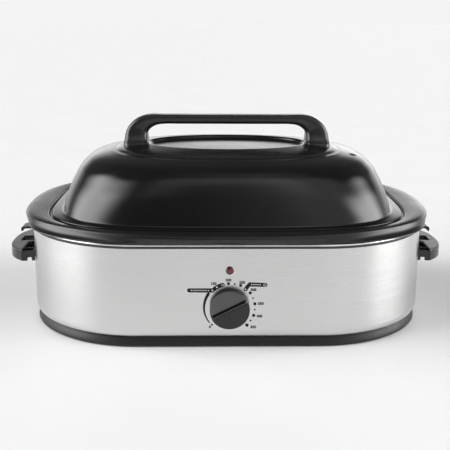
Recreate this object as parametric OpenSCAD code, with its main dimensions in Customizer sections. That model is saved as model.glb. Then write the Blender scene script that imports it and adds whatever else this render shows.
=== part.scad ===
// Electric roaster oven: steel-clad heated body, lift-out enamelled pan,
// wire rack, lift-off domed lid and a thermostat knob on the front.
// Millimetres, +Z up, front at -Y. The origin is on the table under the
// middle of the body.

/* [Body] */
// Half width of the steel wrap, along X
wrap_a = 264; // [255:1:270]
// Half depth of the steel wrap, along Y
wrap_b = 197; // [192:1:202]
// Plan corner radius of the steel wrap
wrap_r = 150; // [140:1:155]
// Sheet thickness of the steel wrap
wrap_t = 0.8; // [0.6:0.1:1.0]
// Height of the top edge of the steel wrap
wrap_top = 127.2; // [122:0.2:127.2]
// Radius of the bright bead along the top edge of the body
bead_r = 1.2; // [1:0.1:1.3]

/* [Heating well] */
// Inner half width of the heating well
well_a = 238; // [236:1:239]
// Inner half depth of the heating well
well_b = 174; // [172:1:175]
// Plan corner radius of the heating well
well_r = 124; // [118:1:130]
// Height of the upper face of the well's floor
well_floor = 25; // [24:0.5:27]
// Height of each heater ribbon
ribbon_h = 8; // [5:0.5:9]

/* [Roasting pan] */
// Sheet thickness of the pan
pan_t = 1.2; // [1.0:0.1:1.4]
// Height of the flat top of the pan's rim
rim_z = 145.6; // [145:0.1:146]

/* [Lid] */
// Sheet thickness of the lid
lid_t = 1.2; // [1.0:0.1:1.4]
// Height of the lid's handle above the table
handle_top = 268; // [262:1:274]
// Half width of the lid's handle
handle_half = 143.5; // [141:0.5:145]
// Depth of the handle's grip bar, front to back
grip_depth = 27; // [22:1:30]

/* [Rack] */
// Radius of the rack's frame wire
frame_wire = 2.5; // [2:0.1:3]
// Radius of the rack's cross wires
cross_wire = 1.5; // [1.2:0.1:2]
// Number of cross wires
cross_count = 13; // [9:2:15]

/* [Controls] */
// Height of the knob's axis
knob_z = 52.5; // [50:0.5:56]
// Radius of the knob
knob_r = 24.5; // [20:0.5:26]
// How far the knob stands out from the steel
knob_out = 15; // [12:0.5:16]
// Rest angle of the knob's ridge above the horizontal
knob_angle = 26.7; // [0:0.1:90]
// Height of the indicator lamp
lamp_z = 100; // [96:1:104]

/* [Base] */
// Height of the lower face of the black base
base_bottom = 1; // [1:0.1:1.6]
// Height where the steel meets the black base
base_top = 13; // [13:0.5:14]
// Radius of the rubber feet
foot_r = 13; // [10:0.5:15]

/* [Hidden] */
$fn = 64;
NR = 72; // points round each swept shell
e = 0.01;

// ---- plan shapes and sweeps -------------------------------------------

// Distance from the middle to a superellipse at a plan angle.
function sup_r(th, a, b, n) =
    pow(pow(abs(cos(th)) / a, n) + pow(abs(sin(th)) / b, n), -1 / n);

// One ring of a shell: R = [half width, half depth, exponent, height].
function ring(R) = [for (k = [0:NR - 1]) let (th = 360 * k / NR,
    q = sup_r(th, R[0], R[1], R[2])) [q * cos(th), q * sin(th), R[3]]];

function flat1(v) = [for (p = v) for (q = p) q];

// A closed bowl: the rings run out from the middle of the outer face, over
// the edge and back to the middle of the inner face.
module bowl(Rs, z0, z1) {
    m = len(Rs);
    pts = concat([[0, 0, z0]], flat1([for (R = Rs) ring(R)]), [[0, 0, z1]]);
    last = 1 + m * NR;
    function id(i, k) = 1 + i * NR + (k % NR);
    faces = concat(
        [for (k = [0:NR - 1]) [0, id(0, k), id(0, k + 1)]],
        flat1([for (i = [0:m - 2]) flat1([for (k = [0:NR - 1])
            [[id(i, k), id(i + 1, k), id(i + 1, k + 1)],
             [id(i, k), id(i + 1, k + 1), id(i, k + 1)]]])]),
        [for (k = [0:NR - 1]) [id(m - 1, k), last, id(m - 1, k + 1)]]);
    polyhedron(points = pts, faces = faces, convexity = 8);
}

// Sweeps a profile round a rounded rectangle. The profile's x is measured
// outwards from the centre of the corner arcs.
module band(a, b, r) {
    for (q = [0:3])
        translate([(q == 0 || q == 3 ? 1 : -1) * (a - r),
                   (q < 2 ? 1 : -1) * (b - r), 0])
            rotate([0, 0, 90 * q]) rotate_extrude(angle = 90, $fn = 96) children();
    for (m = [0, 1]) mirror([0, m, 0])
        translate([-(a - r), b - r, 0]) rotate([90, 0, 90])
            linear_extrude(2 * (a - r)) children();
    for (m = [0, 1]) mirror([m, 0, 0])
        translate([a - r, b - r, 0]) rotate([90, 0, 0])
            linear_extrude(2 * (b - r)) children();
}

// A flat plate with the same kind of rounded outline.
module slab(a, b, r, z, h) {
    translate([-(a - r), -b, z]) cube([2 * (a - r), 2 * b, h]);
    translate([-a, -(b - r), z]) cube([2 * a, 2 * (b - r), h]);
    for (x = [-1, 1], y = [-1, 1])
        translate([x * (a - r), y * (b - r), z]) cylinder(r = r, h = h, $fn = 96);
}

// A cylinder along +Y starting at y.
module ycyl(x, y, z, r, l) {
    translate([x, y, z]) rotate([-90, 0, 0]) cylinder(r = r, h = l, $fn = 48);
}
// A cylinder along +X starting at x.
module xcyl(x, y, z, r, l) {
    translate([x, y, z]) rotate([0, 90, 0]) cylinder(r = r, h = l, $fn = 48);
}
// A straight round wire between two points that share two coordinates.
module wire_x(x0, x1, y, z, r) { xcyl(x0, y, z, r, x1 - x0); }
module wire_y(x, y0, y1, z, r) { ycyl(x, y0, z, r, y1 - y0); }
module wire_z(x, y, z0, z1, r) { translate([x, y, z0]) cylinder(r = r, h = z1 - z0, $fn = 32); }
module ball(x, y, z, r) { translate([x, y, z]) sphere(r = r, $fn = 32); }

screw_y = 38;   // handle screws, from the middle of each handle
screw_z = 79;
lidscrew_x = 127; // lid handle screws
gland_x = 80;
gland_z = 42;

// ---- base ---------------------------------------------------------------

// Moulded black strip that the body stands in. Its neck goes up behind the
// curled lower edge of the steel, and its ledge carries the bottom plate.
module base_ring() {
    color([0.09, 0.09, 0.09])
    band(wrap_a, wrap_b, wrap_r)
        translate([wrap_r, 0]) polygon([
            [-17, base_bottom], [-3, base_bottom], [-2.3, base_bottom + 0.7],
            [-2.7, base_bottom + 4], [-4.6, base_bottom + 9],
            [-6.5, base_top - 0.5],
            [-7.6, base_top - 0.5], [-7.6, base_top + 7],
            [-10.4, base_top + 7], [-10.4, base_top - 2], [-6, 3.7], [-17, 3.7]]);
}

module bottom_plate() {
    color([0.62, 0.63, 0.64])
    difference() {
        slab(wrap_a - 10.8, wrap_b - 10.8, wrap_r - 10.8, 3.9, 1);
        for (x = [-1, 1], y = [-1, 1])
            translate([x * 165, y * 112, 3]) cylinder(r = 2.2, h = 3, $fn = 32);
        translate([0, 0, 3]) cylinder(r = 3.1, h = 3, $fn = 32);
        for (x = [-1, 1], i = [-2:2])
            translate([x * 80 - 25, i * 14 - 2.5, 3]) cube([50, 5, 3]);
    }
}

module rubber_feet() {
    color([0.13, 0.13, 0.13])
    for (x = [-1, 1], y = [-1, 1]) translate([x * 165, y * 112, 0])
        difference() {
            rotate_extrude() polygon([[0, 0], [foot_r - 1.2, 0], [foot_r, 1],
                [foot_r - 1, 3.8], [0, 3.8]]);
            translate([0, 0, -1]) cylinder(r = 5, h = 2.6);
            translate([0, 0, -1]) cylinder(r = 2.2, h = 6, $fn = 32);
        }
}

module foot_screws() {
    color([0.72, 0.72, 0.74])
    for (x = [-1, 1], y = [-1, 1]) translate([x * 165, y * 112, 0])
        difference() {
            union() {
                translate([0, 0, 0.5]) cylinder(r = 3.8, h = 1);
                translate([0, 0, 0.5]) cylinder(r = 1.95, h = 8);
            }
            translate([-2.6, -0.4, 0]) cube([5.2, 0.8, 0.9]);
        }
}

// Stud under the well's floor and its nut, which clamp well and base.
module centre_stud() {
    color([0.7, 0.7, 0.72])
    union() {
        translate([0, 0, 0.8]) cylinder(r = 3, h = well_floor - 1.1 - 0.8, $fn = 48);
        translate([0, 0, 0.9]) cylinder(r = 6, h = 2.9, $fn = 6);
        translate([0, 0, well_floor - 3.1]) cylinder(r = 9, h = 2, $fn = 48);
    }
}

// ---- steel body -------------------------------------------------------

// Brushed steel sheet round the whole body. Its lower edge curls inwards.
module body_wrap() {
    color([0.78, 0.78, 0.77])
    difference() {
        band(wrap_a, wrap_b, wrap_r)
            translate([wrap_r, 0]) polygon([
                [0, wrap_top], [0, base_top + 11], [-0.5, base_top + 7.4],
                [-1.8, base_top + 4], [-3.7, base_top + 1.5], [-6, base_top],
                [-6.4, base_top + 0.7], [-4.2, base_top + 2.2],
                [-2.5, base_top + 4.5], [-1.3, base_top + 7.7],
                [-wrap_t, base_top + 11], [-wrap_t, wrap_top]]);
        ycyl(0, -wrap_b - 1, knob_z, 5.3, 3);
        ycyl(0, -wrap_b - 1, lamp_z, 4.2, 3);
        ycyl(gland_x, wrap_b - 2, gland_z, 7.2, 3);
        for (y = [-1, 1]) {
            xcyl(wrap_a - 2, y * screw_y, screw_z, 2.4, 3);
            xcyl(-wrap_a - 1, y * screw_y, screw_z, 2.4, 3);
        }
    }
}

// Bright bead round the top of the body. It stands on a thin neck, set back a
// little, that runs along the top edge of the steel.
module rim_bead() {
    color([0.9, 0.9, 0.9])
    band(wrap_a, wrap_b, wrap_r)
        translate([wrap_r, wrap_top]) union() {
            translate([0.3, 4.4]) circle(r = bead_r, $fn = 32);
            translate([-1.5, 0.05]) square([1.2, 3.8]);
        }
}

// Heating well: the tub that the pan hangs in. Its wall folds over at the top
// into the seat under the pan's step and comes down to a flange at the bead.
module liner_well() {
    t = 1;
    fz = wrap_top + 1.6;
    seat = rim_z - 5.8;
    ka = wrap_a - 2.2; kb = wrap_b - 2.2; kr = wrap_r - 2.2;
    color([0.7, 0.71, 0.72])
    difference() {
        union() {
            band(well_a, well_b, well_r)
                translate([well_r, 0]) polygon([
                    [-12.5, well_floor - t], [-7.5, well_floor], [-3.2, well_floor + 2.6],
                    [0, well_floor + 7], [t, well_floor + 12], [t, seat - t], [2.2, seat - t],
                    [2.2, fz], [3.6, fz], [3.6, fz + t], [3.2, fz + t],
                    [3.2, seat - 0.6], [2.6, seat], [0.6, seat], [0, seat - 0.6],
                    [0, well_floor + 12.4], [-1, well_floor + 7.6],
                    [-3.9, well_floor + 3.6], [-7.9, well_floor + 1],
                    [-12.5, well_floor]]);
            slab(well_a - 12.4, well_b - 12.4, well_r - 12.4, well_floor - t, t);
            difference() {
                slab(ka, kb, kr, fz, t);
                slab(well_a + 3.4, well_b + 3.4, well_r + 3.4, fz - 1, t + 2);
            }
        }
    }
}

module insulation() {
    color([0.93, 0.9, 0.78])
    difference() {
        band(wrap_a - 2, wrap_b - 2, wrap_r - 2)
            translate([wrap_r - 2, 0]) polygon([
                [-7, 30], [0, 30], [0, 118], [-7, 118]]);
        translate([-40, -wrap_b, 20]) cube([80, 20, 110]);
        translate([gland_x - 75, wrap_b - 20, 20]) cube([105, 20, 50]);
        for (m = [0, 1]) mirror([m, 0, 0])
            translate([wrap_a - 20, -52, 66]) cube([20, 104, 28]);
    }
}

// Two heater ribbons round the lower wall of the well.
module heater_ribbons() {
    color([0.55, 0.45, 0.36])
    for (z = [well_floor + 14, well_floor + 34])
        band(well_a + 1.3, well_b + 1.3, well_r + 1.3)
            translate([well_r + 1.3, 0]) polygon([
                [0, z], [1.2, z], [1.2, z + ribbon_h], [0, z + ribbon_h]]);
}

module clip() {
    h = 34 + ribbon_h;
    difference() {
        translate([-7, 0.15, well_floor + 10]) cube([14, 3.6, h - 6]);
        translate([-8, -1, well_floor + 12]) cube([16, 3.75, h - 10]);
    }
}
// Mica clips that hold the ribbons to the well.
module heater_clips() {
    color([0.82, 0.78, 0.66]) {
        for (x = [-100, -50, 50, 100]) {
            translate([x, well_b + 1, 0]) clip();
            translate([x, -well_b - 1, 0]) rotate([0, 0, 180]) clip();
        }
        for (y = [-30, 30]) {
            translate([well_a + 1, y, 0]) rotate([0, 0, -90]) clip();
            translate([-well_a - 1, y, 0]) rotate([0, 0, 90]) clip();
        }
    }
}

// ---- thermostat, lamp and supply ---------------------------------------

th_y = -wrap_b + wrap_t; // inner face of the steel at the front

module thermostat_bracket() {
    color([0.75, 0.76, 0.78])
    difference() {
        union() {
            translate([-27, th_y + 0.05, knob_z - 17]) cube([54, 1, 34]);
            translate([-27, th_y + 0.05, knob_z - 18]) cube([54, 7, 1.05]);
        }
        ycyl(0, th_y - 1, knob_z, 5.3, 4);
    }
}

module thermostat_body() {
    color([0.86, 0.84, 0.8])
    difference() {
        union() {
            translate([-21, th_y + 1.1, knob_z - 13]) cube([42, 15, 26]);
            ycyl(0, -wrap_b - 3.4, knob_z, 5, 5.5);
            ycyl(0, -wrap_b - 1.9, knob_z, 7.2, 1.8);
            for (x = [-13, 13])
                translate([x - 3.2, th_y + 11.5, knob_z - 20]) cube([6.4, 1, 8]);
        }
        ycyl(0, -wrap_b - 6, knob_z, 3.3, 18);
    }
}

// Control shaft with a flat, turned by the knob.
module thermostat_shaft() {
    color([0.72, 0.72, 0.74])
    difference() {
        ycyl(0, -wrap_b - 11, knob_z, 3, 21);
        translate([-4, -wrap_b - 12, knob_z + 2.2]) cube([8, 7.5, 3]);
    }
}

module knob() {
    y0 = -wrap_b - 3.6;
    l = knob_out - 3.6;
    color([0.17, 0.17, 0.17])
    translate([0, y0, knob_z]) rotate([90, 0, 0])
    difference() {
        rotate_extrude($fn = 96) polygon([[0, 0], [knob_r - 1, 0],
            [knob_r - 0.4, 0.6], [knob_r, l - 3], [knob_r - 0.4, l - 1.4],
            [knob_r - 1.4, l], [0, l]]);
        // the two finger dishes leave a ridge right across, with sloping flanks
        rotate([0, 0, knob_angle]) translate([-40, 1, 0])
            for (m = [0, 1]) mirror([0, m, 0]) rotate([90, 0, 90])
                linear_extrude(80) polygon([[0.7, l + 1], [0.7, l],
                    [3.3, l - 2.8], [27, l - 5], [27, l + 1]]);
        // bore for the shaft and its spring
        translate([0, 0, -1]) cylinder(r = 3.05, h = 8.6, $fn = 48);
        translate([0, 0, -1]) cylinder(r = 7.6, h = 1.6, $fn = 48);
        translate([0, 0, -1]) cylinder(r = 4.4, h = 4, $fn = 48);
    }
}

// Spring ring that grips the shaft inside the knob's bore.
module knob_clip() {
    color([0.8, 0.8, 0.82])
    difference() {
        ycyl(0, -wrap_b - 6.4, knob_z, 4.3, 2.4);
        ycyl(0, -wrap_b - 7, knob_z, 3.05, 4);
        translate([-0.5, -wrap_b - 7, knob_z - 6]) cube([1, 4, 5]);
    }
}

module indicator_lens() {
    color([0.5, 0.03, 0.06])
    translate([0, -wrap_b - 0.1, lamp_z]) rotate([90, 0, 0])
        rotate_extrude() polygon([[0, -7], [3.9, -7], [3.9, 0], [5, 0], [5, 0.8],
            [4.7, 1.5], [3.9, 2.1], [2.6, 2.6], [1.3, 2.85], [0, 2.9]]);
}

module lamp_holder() {
    color([0.12, 0.12, 0.12])
    difference() {
        ycyl(0, th_y + 0.05, lamp_z, 6.2, 14);
        ycyl(0, th_y - 1, lamp_z, 4, 8);
    }
}

// Bushing at the back that the supply cord passes through.
module cord_gland() {
    color([0.1, 0.1, 0.1])
    translate([gland_x, wrap_b, gland_z]) rotate([-90, 0, 0])
    difference() {
        rotate_extrude() polygon([[0, -7], [9.5, -7], [9.5, -0.9], [7, -0.9],
            [7, 0.1], [11, 0.1], [11, 2.6], [8.2, 3.6], [6.6, knob_out], [0, knob_out]]);
        translate([0, 0, -8]) cylinder(r = 4.2, h = knob_out + 10, $fn = 48);
    }
}

module terminal_block() {
    color([0.9, 0.9, 0.88])
    difference() {
        translate([14, wrap_b - 15.7, 34]) cube([40, 11.7, 16]);
        for (x = [20, 34, 48])
            translate([x, wrap_b - 12.6, 33]) cylinder(r = 2.2, h = 6, $fn = 32);
        for (x = [20, 34, 48])
            translate([x, wrap_b - 10, 44]) cylinder(r = 2.5, h = 8, $fn = 32);
    }
}

// Insulated leads under the well, front to back.
module wiring() {
    yf = th_y + 12;
    yb = wrap_b - 12.6;
    color([0.75, 0.1, 0.08])
    for (w = [[-13, 20, 10, -16], [13, 34, 15.5, -8]]) {
        y1 = yb + w[3];
        z = w[2];
        union() {
            wire_z(w[0], yf, z, knob_z - 20.3, 1.6);
            ball(w[0], yf, z, 1.6);
            wire_y(w[0], yf, y1, z, 1.6);
            ball(w[0], y1, z, 1.6);
            wire_x(w[0], w[1], y1, z, 1.6);
            ball(w[1], y1, z, 1.6);
            wire_y(w[1], y1, yb, z, 1.6);
            ball(w[1], yb, z, 1.6);
            wire_z(w[1], yb, z, 38, 1.6);
        }
    }
}

// Safety cut-out strapped under the well's floor.
module thermal_fuse() {
    color([0.85, 0.83, 0.78])
    union() {
        wire_x(50, 72, 40, well_floor - 4, 2.8);
        translate([54, 35, well_floor - 1.9]) cube([14, 10, 0.8]);
        translate([54, 36.4, well_floor - 4.4]) cube([14, 1, 3]);
        translate([54, 42.6, well_floor - 4.4]) cube([14, 1, 3]);
    }
}

// ---- side handles -------------------------------------------------------

// Plan of the bow: outer edge at distance y from the middle.
function bow(y, half, x0, reach) = x0 + reach * (1 - pow(abs(y) / half, 3));
function bow_pts(half, x0, reach) = [for (i = [-18:18])
    let (y = half * sin(90 * i / 18)) [bow(y, half, x0, reach), y]];

// Everything below the slightly sloping top of the handle, lowered by d.
module under_slope(d) {
    translate([wrap_a, -80, 88.6 - d]) rotate([0, 2, 0])
        translate([-20, 0, -60]) cube([90, 160, 60]);
}

module handle_plan_prism(pts, z0, z1) {
    translate([0, 0, z0]) linear_extrude(z1 - z0) polygon(pts);
}

// Right handle: a bowed grip with a turned-down edge, two arms back to the
// wall with a slot between them, open corners with webs, and a hook above
// that holds the lid on edge in the slot.
module side_handle() {
    w = wrap_a + 0.3;
    z0 = 71.8;
    difference() {
        union() {
            intersection() {
                difference() {
                    handle_plan_prism(bow_pts(63, 281.5, 24.6), z0, 100);
                    // channel under the grip
                    intersection() {
                        handle_plan_prism(bow_pts(58.6, 284, 19), 60, 100);
                        under_slope(2.6);
                    }
                }
                under_slope(0);
            }
            // arms beside the slot, and the slot's own walls
            intersection() {
                difference() {
                    translate([w + 1, -18.6, z0]) cube([18.5, 37.2, 20]);
                    intersection() {
                        translate([w + 3, -16.4, 60]) cube([18, 32.8, 40]);
                        under_slope(2.6);
                    }
                }
                under_slope(0);
            }
            intersection() {
                translate([w + 2.4, -14.2, 79]) cube([29.9, 28.4, 12]);
                under_slope(0.5);
            }
            // webs, rib and mounting plate
            for (y = [-61.2, -45, 45, 61.2]) intersection() {
                translate([w + 1, y - 1.2, z0]) cube([18.4, 2.4, 20]);
                under_slope(2);
            }
            for (y = [-1, 1]) translate([w + 2.9, y * 53.6 - 8, z0]) cube([1.5, 16, 12.6]);
            translate([w, -62.4, z0 + 1.5]) cube([1.9, 124.8, 14.5]);
            translate([w, -13.5, z0 + 1.5]) cube([2.4, 27, 34.2]);
            for (y = [-1, 1]) xcyl(w, y * screw_y, screw_z, 5.5, 13);
            for (y = [-1, 1]) translate([279.8, y * 20.4, 76]) cylinder(r = 2.5, h = 11.6, $fn = 32);
            // hook above the slot
            translate([0, 12.6, 0]) rotate([90, 0, 0]) linear_extrude(25.2)
                polygon([[w + 1, 104.8], [289.4, 104.8], [290.7, 103.6], [291, 101.2],
                    [291.9, 100.5], [292.9, 100.9], [293.6, 104.6], [292.8, 106.8],
                    [290.8, 107.6], [w + 1, 107.8]]);
        }
        // slot through the grip
        translate([w + 4.4, -12.2, 60]) cube([25.9, 24.4, 37]);
        // notches in the webs
        for (y = [-61.2, -45, 45, 61.2]) {
            ycyl(w + 7.7, y - 3, 74.6, 3.1, 6);
            translate([w + 4.6, y - 3, 70]) cube([6.2, 6, 4.6]);
            translate([w + 1.9, y - 3, 70]) cube([1, 6, 6.6]);
        }
        for (y = [-1, 1]) translate([279.8, y * 20.4, 80]) cylinder(r = 1.2, h = 12, $fn = 32);
        for (y = [-1, 1]) xcyl(w - 1, y * screw_y, screw_z, 2, 11);
    }
}

module side_handle_right() { color([0.1, 0.1, 0.1]) side_handle(); }
module side_handle_left() { color([0.1, 0.1, 0.1]) mirror([1, 0, 0]) side_handle(); }

module handle_backing_plates() {
    color([0.7, 0.7, 0.72])
    for (m = [0, 1]) mirror([m, 0, 0]) difference() {
        translate([wrap_a - wrap_t - 1.3, -46, screw_z - 8]) cube([1.2, 92, 16]);
        for (y = [-1, 1]) xcyl(wrap_a - 5, y * screw_y, screw_z, 2.4, 6);
    }
}

module handle_screws() {
    color([0.75, 0.75, 0.77])
    for (m = [0, 1], y = [-1, 1]) mirror([m, 0, 0]) union() {
        xcyl(wrap_a - wrap_t - 3.4, y * screw_y, screw_z, 4.2, 2);
        xcyl(wrap_a - wrap_t - 3.4, y * screw_y, screw_z, 1.95, 13);
    }
}

// ---- roasting pan -------------------------------------------------------

// Enamelled pan. Its broad rim covers the top of the body, with a step that
// the lid sits in and an edge that turns down outside the bead.
module roasting_pan() {
    t = pan_t;
    r = rim_z;
    color([0.06, 0.06, 0.065])
    bowl([
        // outer face, from the floor up
        [200, 132, 3, 34], [213, 144, 3, 35.4], [221, 152, 3, 40], [222.8, 153.8, 3, 48],
        [228.9, 160.5, 3.2, r - 8], [232.2, 165, 3.3, r - 5.6],
        // under the step and the rim
        [242.7, 180.6, 3.5, r - 5.3], [244.3, 182.4, 3.45, r - 2],
        [262, 196.5, 2.83, r - 0.9], [271, 201.6, 2.66, r - 1.7],
        [276, 204.6, 2.54, r - 3.2], [277.8, 205.8, 2.52, r - 5.2],
        [274.6, 204, 2.72, r - 8.6], [268.6, 200.8, 3.3, r - 12.2],
        // outer edge, turned down
        [269.8, 202, 3.3, r - 12.4], [275.9, 205.2, 2.72, r - 8.8],
        [279.2, 207, 2.5, r - 5], [277.4, 206, 2.52, r - 2.2],
        [271.6, 202.8, 2.63, r - 0.4],
        // top of the rim, step and inner wall
        [262, 197.4, 2.8, r + 0.3], [246, 184, 3.4, r - 0.2],
        [243, 180.9, 3.5, r - 1.2], [241.6, 179.4, 3.5, r - 4.1],
        [231.8, 164.4, 3.3, r - 4.4], [227.6, 159.2, 3.2, r - 7.4],
        [221.4, 152.4, 3, 48.5], [219.8, 150.8, 3, 41], [212.4, 143.4, 3, 36.7],
        [200, 132, 3, 34 + t]], 34, 34 + t);
}

// ---- rack -----------------------------------------------------------------

rack_a = 192;
rack_b = 124;
rack_r = 55;
rack_z = 46;

module rack_grid() {
    color([0.82, 0.82, 0.84])
    union() {
        band(rack_a, rack_b, rack_r)
            translate([rack_r, rack_z]) circle(r = frame_wire, $fn = 24);
        for (i = [0:cross_count - 1]) {
            x = -168 + i * 336 / (cross_count - 1);
            q = abs(x) > rack_a - rack_r
                ? rack_b - rack_r + sqrt(rack_r * rack_r - pow(abs(x) - rack_a + rack_r, 2))
                : rack_b;
            wire_y(x, -q, q, rack_z + 0.9, cross_wire);
        }
        for (y = [-60, 0, 60]) wire_x(-rack_a, rack_a, y, rack_z - 1.2, frame_wire - 0.4);
        for (x = [-1, 1], y = [-1, 1]) {
            wire_z(x * 120, y * rack_b, 38.2, rack_z, frame_wire);
            ball(x * 120, y * rack_b, 38.2, frame_wire);
        }
    }
}

// Two upright wire loops that the rack is lifted out by.
module rack_handles() {
    x0 = rack_a + 2 * frame_wire + 0.1;
    r = frame_wire;
    color([0.82, 0.82, 0.84])
    for (m = [0, 1]) mirror([m, 0, 0]) union() {
        for (y = [-38, 38]) {
            wire_z(x0, y, rack_z - 4, 104, r);
            ball(x0, y, rack_z - 4, r);
        }
        for (s = [0, 1]) mirror([0, s, 0])
            translate([x0, 26, 104]) rotate([90, 0, 90])
                rotate_extrude(angle = 90, $fn = 48) translate([12, 0]) circle(r = r, $fn = 24);
        wire_y(x0, -26, 26, 116, r);
        // short stays welded to the frame wire
        for (y = [-38, 38]) wire_x(rack_a + r - 0.04, x0, y, rack_z, 1.5);
    }
}

// ---- lid ---------------------------------------------------------------------

// Domed lid with a flat edge, a raised oval on top and a shallow recess in it.
module lid_shell() {
    t = lid_t;
    color([0.05, 0.05, 0.055])
    difference() {
        bowl([
            // recess floor and raised oval, from the middle out
            [96, 55, 2.1, 224.2 - t], [106, 64, 2.1, 224.6 - t], [109.5, 67, 2.1, 227.4 - t],
            [122, 80, 2.15, 226.9 - t], [144.6, 105.4, 2.3, 223.8 - t],
            [150, 110.8, 2.34, 222.9 - t], [154.4, 115, 2.37, 221.2 - t],
            [158.6, 118.8, 2.42, 220.5 - t],
            [164.6, 123.7, 2.47, 219.5 - t], [172.6, 129.3, 2.55, 217.7 - t],
            [181, 135.7, 2.62, 215.1 - t], [189, 141.5, 2.7, 211.6 - t],
            [195.6, 146.6, 2.78, 206.2 - t], [201.1, 151, 2.85, 200.8 - t],
            [207.8, 156.8, 3, 189.6 - t], [213.1, 161.6, 3.17, 178.2 - t],
            [217.2, 165.6, 3.32, 166.8 - t], [220.1, 168, 3.47, 156.8 - t],
            [221.8, 169.5, 3.53, 150.2 - t], [223.4, 170.8, 3.56, 147.2 - t],
            [236.2, 174.6, 3.55, 145.4 - t],
            // edge
            [236.9, 175.3, 3.55, 142.2], [238.1, 176.5, 3.55, 142.2],
            [238, 176.4, 3.55, 145], [236.8, 175.2, 3.55, 145.8],
            // outer face, back to the middle
            [224.8, 172.2, 3.58, 147.3], [223.2, 170.9, 3.56, 149],
            [221.3, 169.3, 3.5, 156.8], [218.4, 167, 3.35, 166.9],
            [214.3, 163, 3.2, 178.5], [208.9, 158, 3.03, 190],
            [202.2, 152, 2.88, 201.7], [196.6, 147.6, 2.8, 207.3],
            [189.7, 142.4, 2.7, 212.8], [181.6, 136.6, 2.62, 216.4],
            [173, 130, 2.55, 218.9], [165, 124.4, 2.47, 220.7],
            [159, 119.8, 2.42, 221.9], [156.2, 117.2, 2.39, 222.1],
            [150.4, 111.7, 2.34, 224], [133, 93, 2.22, 226.7],
            [115.5, 73.2, 2.12, 229], [111.4, 68.9, 2.1, 229.3],
            [108.4, 66, 2.1, 228.4],
            [105, 63, 2.1, 225.4], [96, 55, 2.1, 224.2]],
            224.4 - t, 224.4);
        for (x = [-1, 1])
            translate([x * lidscrew_x, 0, 215]) cylinder(r = 2.8, h = 30, $fn = 48);
        // steam hole under the small vent
        translate([172, -44, 205]) cylinder(r = 2.2, h = 30, $fn = 32);
    }
}

// Outline of the handle: [x, z, inclination of the section, thickness, depth].
function arc_st(a0, a1, n, cx, cz, rx, rz) = [for (i = [0:n])
    let (u = a0 + (a1 - a0) * i / n) [cx + rx * cos(u), cz + rz * sin(u), u]];
hx = handle_half;
hz = handle_top;
hb = hz - 268; // the bar moves up and down with the top
// right half of the path, foot to middle: centre line, direction, thickness
hp = [
    [hx - 16.4, 226.2, -8, 34.5, 50],
    [hx - 16.4, 230, 1, 34, 47],
    [hx - 16.6, 235, 0, 33, 38],
    [hx - 17, 241 + hb / 2, 2, 31.5, 32],
    [hx - 19, 247 + hb, 14, 29, 29],
    [hx - 24.2, 253 + hb, 34, 25, grip_depth + 1],
    [hx - 32.5, 258 + hb, 56, 20.5, grip_depth],
    [hx - 43.5, 260.8 + hb, 76, 15.5, grip_depth],
    [hx - 56, 261.4 + hb, 88, 13.2, grip_depth],
    [hx - 80, 261.4 + hb, 90, 13, grip_depth],
    [hx - 112, 261.4 + hb, 90, 13, grip_depth]];
hfull = concat([for (p = hp) p],
    [for (i = [len(hp) - 1:-1:0]) let (p = hp[i]) [-p[0], p[1], 180 - p[2], p[3], p[4]]]);
HS = 20; // points round the section
function sect(p) = [for (k = [0:HS - 1]) let (th = 360 * k / HS,
    q = sup_r(th, p[3] / 2, p[4] / 2, 3.6),
    s = q * cos(th), y = q * sin(th))
    [p[0] + s * cos(p[2]), y, p[1] + s * sin(p[2])]];

module lid_handle() {
    m = len(hfull);
    pts = flat1([for (p = hfull) sect(p)]);
    function id(i, k) = i * HS + (k % HS);
    color([0.12, 0.12, 0.12])
    difference() {
        polyhedron(points = pts, faces = concat(
            [[for (k = [0:HS - 1]) id(0, k)]],
            flat1([for (i = [0:m - 2]) flat1([for (k = [0:HS - 1])
                [[id(i, k), id(i + 1, k), id(i + 1, k + 1)],
                 [id(i, k), id(i + 1, k + 1), id(i, k + 1)]]])]),
            [[for (k = [HS - 1:-1:0]) id(m - 1, k)]]), convexity = 6);
        // sloping seats on the lid
        for (q = [0, 1]) mirror([q, 0, 0])
            translate([107, -40, 230.37]) rotate([0, 7.8, 0])
                translate([-4, 0, -12]) cube([60, 80, 12]);
        for (x = [-1, 1])
            translate([x * lidscrew_x, 0, 220]) cylinder(r = 2.1, h = 24, $fn = 48);
    }
}

module lid_screws() {
    color([0.8, 0.8, 0.82])
    for (x = [-1, 1]) translate([x * lidscrew_x, 0, 0]) union() {
        translate([0, 0, 220.1]) cylinder(r = 4, h = 2.4);
        translate([0, 0, 220.1]) cylinder(r = 2, h = 21);
    }
}

module lid_washers() {
    color([0.75, 0.75, 0.77])
    for (x = [-1, 1]) translate([x * lidscrew_x, 0, 222.6])
        difference() {
            cylinder(r = 8, h = 1);
            translate([0, 0, -1]) cylinder(r = 2.6, h = 3, $fn = 48);
        }
}

// ---- nodes ----------------------------------------------------------------

base_ring();
bottom_plate();
rubber_feet();
foot_screws();
centre_stud();
body_wrap();
rim_bead();
liner_well();
insulation();
heater_ribbons();
heater_clips();
thermostat_bracket();
thermostat_body();
indicator_lens();
lamp_holder();
side_handle_left();
side_handle_right();
handle_backing_plates();
handle_screws();
cord_gland();
terminal_block();
wiring();
thermal_fuse();
knob();
thermostat_shaft();
knob_clip();
roasting_pan();
rack_grid();
rack_handles();
lid_shell();
lid_handle();
lid_screws();
lid_washers();
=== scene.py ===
import math

import bmesh
import bpy
from mathutils import Matrix, Vector


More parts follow.
